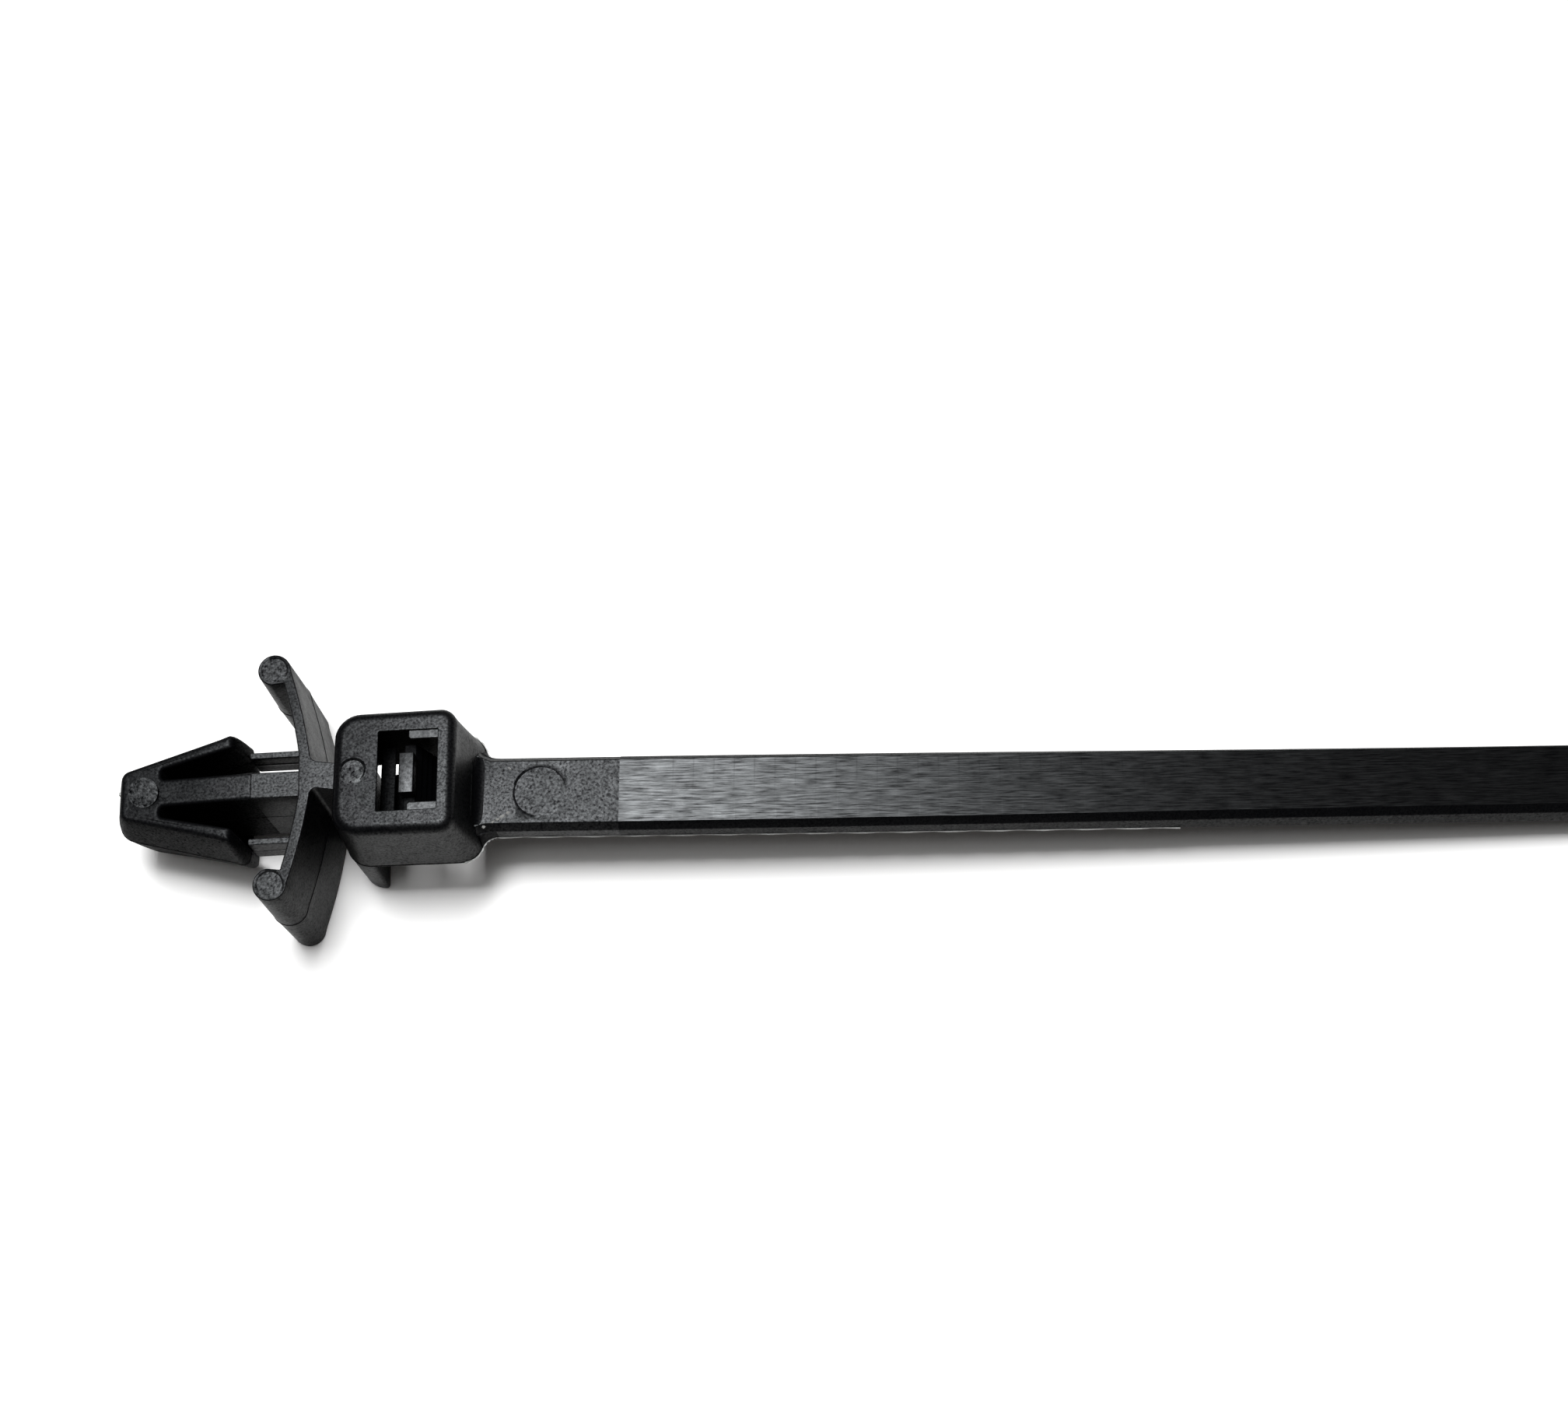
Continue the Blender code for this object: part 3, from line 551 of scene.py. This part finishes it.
def skirt_plan(height, inset):
    """The wall under the head's front: an L that turns back along the lower side."""
    front = HEAD_FRONT_X - HEAD_DRAFT + 0.02
    side = HEAD_Y - HEAD_TAPER + HEAD_DRAFT - 0.03
    end = front + SKIRT_LENGTH
    corners = [(front, SKIRT_END_Y, 0.40), (front + SKIRT_WALL, SKIRT_END_Y, 0.12),
               (front + SKIRT_WALL, -WINDOW_Y, 0.30), (end, -WINDOW_Y, 0.10), (end, -side, 0.25),
               (front, -side, BASE_CORNER)]
    return filleted(corners, inset - 0.05 * height / SKIRT_DEPTH, 10)


finished(skin("skirt", moulded(skirt_plan, HEAD_BASE - SKIRT_DEPTH, HEAD_BASE + 0.2, edge=0.15, flash=0.0)),
         stem_nylon)

# Ratchet: the pawl that catches the strap's teeth, on its thin hinge, the rib that stands behind
# it, and two lips that hold the strap against it. Black nylon, moulded inside the head's window.
# The rib, the pawl's body and its hinge carry painted shade: a copy of the nylon with little gloss.
PAWL_Y = 1.23
PAWL_TOP = HEAD_TOP - 0.46
PAWL_ROOT = 0.70
PAWL_BODY_Y = 2.05
PAWL_SHOULDER = 0.96
PAWL_LEAN = 0.75
PAWL_TEETH = 4
TOOTH_HEIGHT = 0.28
TOOTH_STEP = 0.55
HINGE = 0.32
HINGE_Y = 1.30
CROSS_RIB_TOP = 2.60
CROSS_RIB_THICK = 0.86
CROSS_RIB_GAP = 0.55
END_EDGE = 0.05
LIP_WIDTH = 0.50
LIP_LEVELS = (HEAD_TOP - 0.40, HEAD_TOP - 0.15)

# Painted shade: the parts deep in the window, and the heel and gusset, take this copy of the nylon with
# little gloss, so that they read dark.
shade_recess_nylon = black_nylon("recess_painted_shade_nylon", gloss=(0.05, 0.05), roughness=0.5)
pawl_nylon = black_nylon("pawl_black_nylon", gloss=(0.35, 0.35), relief=0.014, grain=5000.0, contrast=0.5)


def across(name, corners, half_width):
    """A side profile of corners (x, z, radius), carried across the tie with quarter-round end edges."""
    end = [(END_EDGE * 1.4, half_width)]
    for turn in np.linspace(0, np.pi / 2, 4):
        end.append((END_EDGE * (1 - np.sin(turn)), half_width - END_EDGE * (1 - np.cos(turn))))
    stations = [(inset, -y) for inset, y in end] + [(inset, y) for inset, y in end[::-1]]
    rings = []
    for inset, y in stations:
        shape = filleted(corners, inset, 4)
        rings.append(np.column_stack([shape[:, 0], np.full(len(shape), y), shape[:, 1]]))
    return skin(name, rings)


rib_rear = PAWL_BACK_X - CROSS_RIB_GAP
slant = RELIEF_SLANT * (CROSS_RIB_TOP - HEAD_BASE) / HEAD_HEIGHT
finished(across("cross_rib", [
    (rib_rear - CROSS_RIB_THICK, CROSS_RIB_TOP, 0.08), (rib_rear, CROSS_RIB_TOP, 0.08),
    (rib_rear - slant, HEAD_BASE + 0.1, 0.03), (rib_rear - slant - CROSS_RIB_THICK, HEAD_BASE + 0.1, 0.03),
], WINDOW_Y + 0.1), shade_recess_nylon)
shoulder = PAWL_TOP - PAWL_SHOULDER
end_back, end_front = PAWL_BACK_X + 0.09, PAWL_FRONT_X + 0.18
finished(across("pawl_end", [(end_back, PAWL_TOP, 0.07), (end_front, PAWL_TOP, 0.07),
                             (end_front, shoulder - 0.2, 0.03), (end_back, shoulder - 0.2, 0.03)], PAWL_Y),
         pawl_nylon)
profile = [(PAWL_BACK_X + 0.20, shoulder, 0.07)]
for tooth in range(PAWL_TEETH):
    start = shoulder - tooth * TOOTH_STEP
    face = PAWL_FRONT_X + PAWL_LEAN * (tooth + 0.5) / PAWL_TEETH
    profile += [(face, start, 0.02), (face + TOOTH_HEIGHT, start - 0.8 * TOOTH_STEP, 0.03)]
profile += [(face, start - TOOTH_STEP, 0.02), (PAWL_FRONT_X, PAWL_ROOT, 0.05),
            (PAWL_BACK_X, PAWL_ROOT, 0.05)]
finished(across("pawl", profile, PAWL_BODY_Y), shade_recess_nylon)
foot, knee = rib_rear - slant - 0.15, PAWL_BACK_X + 0.3
finished(across("hinge", [(knee, PAWL_ROOT + 0.03, 0.03), (foot, PAWL_ROOT + 0.03, 0.03),
                          (foot, PAWL_ROOT + HINGE, 0.03), (knee, PAWL_ROOT + 2 * HINGE, 0.03)], HINGE_Y),
         shade_recess_nylon)


def lip_plan(height, inset):
    """The upper lip's rectangle, rounded at its free end and sunk in the window's walls."""
    free_x, wall_x, wall_y = PAWL_FRONT_X - 0.1, WINDOW_REAR_X + 0.1, WINDOW_Y + 0.1
    inner_y = WINDOW_Y - LIP_WIDTH
    return filleted([(free_x, inner_y, 0.18), (free_x, wall_y, 0.03), (wall_x, wall_y, 0.03),
                     (wall_x, inner_y, 0.03)], inset, 6)


lip_rings = moulded(lip_plan, *LIP_LEVELS, edge=0.05, flash=0.0, heights=3)
finished(skin("lip_upper", lip_rings), pawl_nylon)
finished(skin("lip_lower", lip_rings * [1, -1, 1]), pawl_nylon)

# Strap root: the smooth neck of the strap, flared where it leaves the head, with an ejector pin's
# print on its face. Black nylon, moulded with the head.
SMOOTH_END_X = 29.0
BEVEL_WIDTH = 0.36
BEVEL_DEPTH = 0.50
CHANNEL_HALF = 1.40
CHANNEL_DRAFT = 0.06
FLARE = 0.30
FLARE_LENGTH = 0.90


def strap_ring(x, half, thick, ceiling=0.0, channel=CHANNEL_HALF):
    """One section of the strap: a flat underside, upright sides, and bevelled face edges.

    Each corner of the section is a short arc, so that the edges catch the light. Where ceiling
    isn't 0, the underside has a channel as high as that, its sides drawn in by the draft."""
    side = half - BEVEL_WIDTH
    bevel = thick - BEVEL_DEPTH
    corners = [(-half, 0, 0.07), (-half, bevel, 0.14), (-side, thick, 0.10), (side, thick, 0.10),
               (half, bevel, 0.14), (half, 0, 0.07)]
    if ceiling:
        top, top_y = ceiling + 0.001, channel - CHANNEL_DRAFT
        corners += [(channel, 0, 0.05), (top_y, top, 0.0004), (-top_y, top, 0.0004), (-channel, 0, 0.05)]
    outline = filleted(corners, steps=5)
    return np.column_stack([np.full(len(outline), x), outline[:, 0], outline[:, 1]])


root_rings = [strap_ring(WINDOW_REAR_X + 0.2, STRAP_WIDTH / 2, STRAP_THICK)]
for part in np.linspace(0, 1, 14):
    root_rings.append(strap_ring(STRAP_ROOT_X - 0.3 + FLARE_LENGTH * part,
                                 STRAP_WIDTH / 2 + FLARE * (1 - part) ** 2, STRAP_THICK))
for x in np.linspace(STRAP_ROOT_X + 1.0, SMOOTH_END_X + 0.02, 8):
    root_rings.append(strap_ring(x, STRAP_WIDTH / 2, STRAP_THICK))
strap_root = skin("strap_root", root_rings)
root_nylon = black_nylon("root_black_nylon", gloss=(0.19, 0.19), grain=6500.0, relief=0.012, contrast=0.85)
root_pin_face = black_nylon("root_pin_face", gloss=(0.19, 0.19), grain=6000.0, relief=0.014, contrast=0.9)
ejector_mark(strap_root, root_nylon, (STRAP_ROOT_X + 3.45, 0.0), STRAP_THICK, 1.68, depth=0.03,
             face=root_pin_face, lean=(-0.8, 0.6))
finished(strap_root)

# Heel and gusset: the hollow curve from the strap's face up the head's rear wall, and the fillets
# that join its sides to the head. Black nylon, in the same moulding, with painted shade: a copy of
# the nylon with little gloss, so that both read dark.
HEEL_RADIUS = 0.62
HEEL_Y = 2.10
HEEL_END_X = STRAP_ROOT_X + 0.13
GUSSET_RADIUS = 1.0
GUSSET_SUNK_X, GUSSET_START_X, GUSSET_X = 20.3, 20.84, 21.795
GUSSET_HEIGHT = 1.0

# The heel's radius shrinks towards its ends, by 0.35 s^8 at the share s of the half width.
heel_rings = []
for side in np.sin(np.linspace(-np.pi / 2, np.pi / 2, 17)):
    shrink = 1 - 0.35 * side ** 8
    curve = arc_points(HEEL_END_X - HEEL_RADIUS * (1 - shrink), STRAP_THICK + HEEL_RADIUS * shrink,
                       HEEL_RADIUS * shrink, 270, 180, 12)
    wall = HEAD_REAR_X - 0.4
    section = np.concatenate([[[curve[0, 0], STRAP_THICK - 0.3]], curve,
                              [[wall, curve[-1, 1]], [wall, STRAP_THICK - 0.3]]])
    heel_rings.append(np.column_stack([section[:, 0], np.full(len(section), side * HEEL_Y), section[:, 1]]))
finished(skin("heel", heel_rings), shade_recess_nylon)

# The gusset's side is an arc that meets the strap's side: y = side + r - sqrt(r^2 - (end - x)^2).
gusset_x = np.linspace(GUSSET_START_X, GUSSET_X, 16)
gusset_y = STRAP_WIDTH / 2 + GUSSET_RADIUS - np.sqrt(GUSSET_RADIUS ** 2 - (GUSSET_X - gusset_x) ** 2)
gusset_rings = []
for x, y in [(GUSSET_SUNK_X, gusset_y[0]), *zip(gusset_x, gusset_y)]:
    high_y = STRAP_WIDTH / 2 + 0.4 * (y - STRAP_WIDTH / 2)
    gusset_rings.append([(x, -y, 0.0), (x, -y, 0.06), (x, -high_y, GUSSET_HEIGHT),
                         (x, high_y, GUSSET_HEIGHT), (x, y, 0.06), (x, y, 0.0)])
finished(skin("root_gusset", gusset_rings), shade_recess_nylon)

# Flash: the thin ragged skirt of nylon that crept between the mould's halves, round the head's
# rear corners and along both lower edges of the strap. Black nylon, so thin that it looks pale.
FLASH_REACH = 0.055
FLASH_RAGGED = 0.035
FLASH_START_X, FLASH_END_X, FLASH_STEP = 22.6, 62.0, 0.8

corner_x = HEAD_REAR_X + HEAD_HEEL - BASE_CORNER
corner_arc = arc_points(corner_x, BASE_Y - BASE_CORNER, BASE_CORNER, 80, 20, 12)
strap_x = np.arange(FLASH_START_X, FLASH_END_X, FLASH_STEP)
edge_path = np.concatenate([corner_arc, np.column_stack([gusset_x, gusset_y]),
                            np.column_stack([strap_x, np.full(len(strap_x), STRAP_WIDTH / 2)])])
heading = np.gradient(edge_path, axis=0)
outward = heading[:, ::-1] * [-1, 1] / np.linalg.norm(heading, axis=1, keepdims=True)
ragged = FLASH_REACH + FLASH_RAGGED * np.sin(1.9 * np.arange(len(edge_path)))[:, None]
flash_rings = np.stack([at_level(edge_path + outward * far, z) for far, z in (
    (-0.05, -0.02), (ragged, 0.0), (ragged, 0.02), (-0.05, 0.05))], axis=1)
finished(skin("flash_upper", flash_rings), pale_nylon)
finished(skin("flash_lower", flash_rings * [1, -1, 1]), pale_nylon)

# Burrs: small scuffs on the strap's root, where the nylon was dragged out of the mould and whitened.
# Each runs from one place to another on the face, with its own half width.
BURRS = [((21.55, -1.92), (21.75, -1.76), 0.080), ((21.80, -1.74), (22.05, -1.66), 0.096),
         ((22.0, -1.62), (22.35, -1.42), 0.112), ((22.4, -1.38), (22.62, -1.22), 0.112),
         ((21.0, -2.22), (21.22, -2.14), 0.096), ((22.35, 1.55), (22.6, 1.38), 0.080)]
BURR_RISE = 0.11
BURR_SINK = 0.02

for number, (start, end, width) in enumerate(BURRS):
    start, end = np.array(start), np.array(end)
    aside = (end - start)[::-1] * [-1, 1] / np.linalg.norm(end - start) * width
    burr = []
    for part, swell in ((0.0, 0.2), (0.3, 1.0), (0.7, 0.8), (1.0, 0.15)):
        middle = start + (end - start) * part
        burr.append([(*(middle - aside * swell), STRAP_THICK - BURR_SINK),
                     (*middle, STRAP_THICK + BURR_RISE * swell),
                     (*(middle + aside * swell), STRAP_THICK - BURR_SINK)])
    finished(skin("burr_%d" % number, burr), pale_nylon)

# Strap: a long flat band of black nylon with a finely brushed face, a row of ratchet teeth in the
# channel underneath, and a thin tail with grip ridges. It sags from the head down to the table.
# Moulded with the head, and brushed in the mould's cavity.
RAISED = 0.025
TOOTH_PITCH = 1.20
TOOTH_CREST = 0.32
TOOTH_ROOT = 0.78
TEETH_START_X = SMOOTH_END_X + 2.0
TAIL_LENGTH = 22.0
TAIL_X = TAIL_END_X - TAIL_LENGTH
TAIL_HALF = 1.35
TAIL_THICK = 1.00
TAIL_CHANNEL = 0.90
TAIL_STEP = 0.2
CHANNEL_END = 0.01
GRIP_START = 3.0
GRIP_COUNT = 8
GRIP_PITCH = 1.70
GRIP_HEIGHT = 0.16

strap_half = STRAP_WIDTH / 2 + RAISED / 3
strap_thick = STRAP_THICK + RAISED
strap_rings = [strap_ring(SMOOTH_END_X, strap_half, strap_thick, CHANNEL_END)]
strap_rings.append(strap_ring(TEETH_START_X, strap_half, strap_thick, CHANNEL_END))
for tooth in range(int((TAIL_X - TEETH_START_X) / TOOTH_PITCH)):
    start = TEETH_START_X + tooth * TOOTH_PITCH
    for share, depth in ((0.01, TOOTH_ROOT), (0.9, TOOTH_CREST), (0.99, TOOTH_CREST)):
        strap_rings.append(strap_ring(start + share * TOOTH_PITCH, strap_half, strap_thick, depth))
strap_rings.append(strap_ring(start + TOOTH_PITCH, strap_half, strap_thick, CHANNEL_END))

# The tail narrows and thins towards its end. Each grip ridge is a smooth rise and fall about its crest.
for step in range(int(TAIL_LENGTH / TAIL_STEP) - 7):
    run = step * TAIL_STEP
    part = run / TAIL_LENGTH
    ridge = run - GRIP_START
    lift = 0.0
    if 0 < ridge < GRIP_COUNT * GRIP_PITCH:
        off_crest = abs(ridge % GRIP_PITCH - 0.375 * GRIP_PITCH)
        lift = GRIP_HEIGHT * soft_step(1.6 - off_crest / (0.25 * GRIP_PITCH))
    half = strap_half + (TAIL_HALF - STRAP_WIDTH / 2) * part ** 1.3
    thick = strap_thick + (TAIL_THICK - STRAP_THICK) * part + lift
    strap_rings.append(strap_ring(TAIL_X + run, half, thick, CHANNEL_END, TAIL_CHANNEL))

# The tip is a half circle in plan, a little thinner towards its end.
for turn in np.radians([20, 40, 60, 75, 86]):
    x = TAIL_END_X - TAIL_HALF * (1 - np.sin(turn))
    half = max(TAIL_HALF * np.cos(turn), 0.45)
    thick = TAIL_THICK - 0.15 * (turn / 1.5) ** 4
    channel = TAIL_CHANNEL * max(np.cos(turn), 0.42) - 0.05
    strap_rings.append(strap_ring(x, half, thick, CHANNEL_END, channel))


def brushed_nylon():
    """Black nylon with fine lengthwise brushing on its face.

    Noise stretched far along the strap gives thin streaks in gloss and bump, and the grooves spread
    each reflection across the strap."""
    material = black_nylon("brushed_black_nylon", gloss=(0.40, 0.34), reach=(29, 90),
                           colour=(0.0010, 0.0010, 0.0012), grain=1.0, relief=0.009,
                           stretch=(6.5, 100.0, 1.0))
    tree = material.node_tree
    shader = tree.nodes["Principled BSDF"]
    shader.inputs["Anisotropic"].default_value = 0.6
    shader.inputs["Anisotropic Rotation"].default_value = 0.25
    along = node(tree, "ShaderNodeTangent", direction_type="UV_MAP", uv_map="straight")
    tree.links.new(along.outputs["Tangent"], shader.inputs["Tangent"])
    return material


strap = skin("strap", strap_rings)
strap.data.materials.append(brushed_nylon())
# Painted shade: the strap's bevels and sides take a copy of its nylon with little gloss, so that they read
# dark.
strap_edge_shade_nylon = black_nylon("strap_edge_painted_shade_nylon", gloss=(0.07, 0.10), reach=(40, 80))
steep_faces(strap, strap_edge_shade_nylon, 0.9)
finished(strap, sharp=38)

# Table and light: a pale table, a soft lamp overhead with a broad weak one around it, and a dim sky
# that fades towards the horizon.
TABLE_SIZE = 0.8
LAMP_HEIGHT = 300.0


def pale_table():
    """White for the eye, and slightly grey in reflections and for the light it passes on."""
    material = bpy.data.materials.new("pale_table")
    material.use_nodes = True
    tree = material.node_tree
    shader = tree.nodes["Principled BSDF"]
    shader.inputs["Roughness"].default_value = 0.9
    shader.inputs["Specular IOR Level"].default_value = 0.0
    rays = node(tree, "ShaderNodeLightPath")
    mix = node(tree, "ShaderNodeMix", data_type="RGBA")
    colours = [s for s in mix.inputs if s.type == "RGBA"]
    colours[0].default_value = (0.61, 0.59, 0.57, 1)
    colours[1].default_value = (0.98, 0.94, 0.91, 1)
    tree.links.new(rays.outputs["Is Camera Ray"], mix.inputs["Factor"])
    tree.links.new(next(s for s in mix.outputs if s.type == "RGBA"), shader.inputs["Base Color"])
    return material


corners = [(x * TABLE_SIZE / 2, y * TABLE_SIZE / 2, 0) for x, y in ((-1, -1), (1, -1), (1, 1), (-1, 1))]
table_mesh = bpy.data.meshes.new("table")
table_mesh.from_pydata(corners, [], [(0, 1, 2, 3)])
table_mesh.materials.append(pale_table())
table = bpy.data.objects.new("table", table_mesh)
bpy.context.scene.collection.objects.link(table)

origin = Vector(laid([[0.0, 0.0, 0.0]])[0])


def soft_lamp(name, place, size, power):
    """A rectangular lamp that hangs level at a place given in the tie's millimetres."""
    data = bpy.data.lights.new(name, "AREA")
    data.shape = "RECTANGLE"
    data.size, data.size_y = size
    data.energy = power
    data.color = (0.93, 0.97, 1.0)
    lamp = bpy.data.objects.new(name, data)
    lamp.location = origin + Vector(place) * MM
    bpy.context.scene.collection.objects.link(lamp)


soft_lamp("overhead_lamp", (0.0, 52.0, LAMP_HEIGHT), (0.11, 0.12), 1.16)
soft_lamp("broad_lamp", (0.0, 40.0, LAMP_HEIGHT + 1), (0.22, 0.26), 0.42)

world = bpy.data.worlds.new("studio")
bpy.context.scene.world = world
world.use_nodes = True
sky = world.node_tree
background = sky.nodes["Background"]
direction = node(sky, "ShaderNodeTexCoord")
split = node(sky, "ShaderNodeSeparateXYZ")
sky.links.new(direction.outputs["Generated"], split.inputs["Vector"])
fall = ranged(sky, split.outputs["Z"], (0.15, 1.0), (0.03, 0.12))
rays = node(sky, "ShaderNodeLightPath")
seen = node(sky, "ShaderNodeMath", operation="MAXIMUM")
sky.links.new(rays.outputs["Is Camera Ray"], seen.inputs[0])
sky.links.new(rays.outputs["Is Transmission Ray"], seen.inputs[1])
level = node(sky, "ShaderNodeMath", operation="MAXIMUM")
sky.links.new(fall, level.inputs[0])
sky.links.new(seen.outputs["Value"], level.inputs[1])
sky.links.new(level.outputs["Value"], background.inputs["Strength"])
background.inputs["Color"].default_value = (1, 1, 1, 1)

# Camera: close above the tie, leaning back from its lower side, with a plain 50 mm lens.
CAMERA_PLACE = (41.84, -46.31, 120.56)
CAMERA_AIM = (38.945, 3.446, 0.0)
CAMERA_ROLL = np.radians(-7.776)
LENS = 49.90

camera_data = bpy.data.cameras.new("camera")
camera_data.lens = LENS
camera_data.sensor_width = 36.0
camera_data.clip_start = 0.005
camera = bpy.data.objects.new("camera", camera_data)
bpy.context.scene.collection.objects.link(camera)
bpy.context.scene.camera = camera
look = (Vector(CAMERA_AIM) - Vector(CAMERA_PLACE)).normalized()
right = look.cross(Vector((0, 0, 1))).normalized()
up = right.cross(look)
turned_right = right * np.cos(CAMERA_ROLL) + up * np.sin(CAMERA_ROLL)
turned_up = turned_right.cross(look)
camera.matrix_world = Matrix.Translation(origin + Vector(CAMERA_PLACE) * MM) @ Matrix(
    (turned_right, turned_up, -look)).transposed().to_4x4()
bpy.context.scene.view_settings.view_transform = "Standard"
